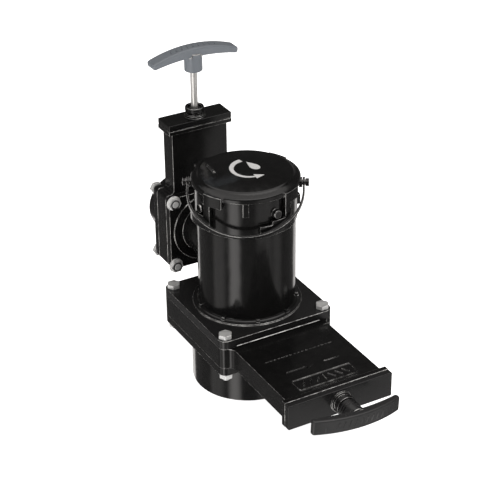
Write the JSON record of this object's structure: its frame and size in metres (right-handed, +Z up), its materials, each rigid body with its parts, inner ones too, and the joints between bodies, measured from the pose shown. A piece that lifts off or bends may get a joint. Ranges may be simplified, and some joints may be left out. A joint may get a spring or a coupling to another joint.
{
  "type": "twin gate drain valve",
  "caption": "Upright drain tee with bayonet cap on a large sliding gate valve, with a smaller gate valve on its side branch; pull handles open both gates.",
  "frame": {"origin": "centre of the lower hub's mouth, on the plane it stands on", "axes": "+Z up the main tube, -Y the way the large gate pulls out, +Y out of the small rear hub"},
  "size_m": [0.1154, 0.3341, 0.2943],
  "materials": {
    "gloss_black_abs": "glossy moulded",
    "satin_black_abs": "satin moulded",
    "gate_abs": "satin moulded",
    "grey_handle_abs": "satin moulded",
    "rod_steel": "polished",
    "zinc_steel": "zinc plated",
    "seal_rubber": "matt"
  },
  "bodies": {
    "housing": {"lower_hub": "gloss_black_abs", "lower_flange": "gloss_black_abs", "tee_flange": "gloss_black_abs", "tee_tube": "gloss_black_abs", "bayonet_collar": "gloss_black_abs", "tee_branch": "gloss_black_abs", "rear_hub": "gloss_black_abs", "rear_flange": "gloss_black_abs", "large_valve_body": "satin_black_abs", "small_valve_body": "satin_black_abs", "large_end_cap": "satin_black_abs", "small_end_cap": "satin_black_abs", "large_inlet_seal": "seal_rubber", "large_outlet_seal": "seal_rubber", "small_inlet_seal": "seal_rubber", "small_outlet_seal": "seal_rubber", "large_end_gasket": "seal_rubber", "small_end_gasket": "seal_rubber", "large_rod_seal": "seal_rubber", "small_rod_seal": "seal_rubber", "large_bolts": "zinc_steel", "large_nuts": "zinc_steel", "small_bolts": "zinc_steel", "small_nuts": "zinc_steel"},
    "large_gate_set": {"large_gate": "gate_abs", "large_rod_nut": "zinc_steel", "large_rod": "rod_steel", "large_handle": "satin_black_abs"},
    "small_gate_set": {"small_gate": "gate_abs", "small_rod_nut": "zinc_steel", "small_rod": "rod_steel", "small_handle": "grey_handle_abs"},
    "cap": {"bayonet_cap": "gloss_black_abs", "cap_gasket": "seal_rubber"},
    "strap": {"cap_strap": "satin_black_abs"}
  },
  "joints": [
    {"name": "large_gate_slide", "type": "slide", "parent": "housing", "child": "large_gate_set", "axis": [0, -1, 0], "range_m": [0, 0.081]},
    {"name": "small_gate_slide", "type": "slide", "parent": "housing", "child": "small_gate_set", "axis": [0, 0, 1], "range_m": [-0.0352, 0.0083]},
    {"name": "cap_turn", "type": "hinge", "parent": "housing", "child": "cap", "pos_m": [0, 0, 0.2], "axis": [0, 0, 1], "range_deg": [0, 28]},
    {"name": "strap_swing", "type": "hinge", "parent": "cap", "child": "strap", "pos_m": [0, 0, 0.199], "axis": [-0.8572, 0.515, 0], "range_deg": [0, 232]}
  ]
}
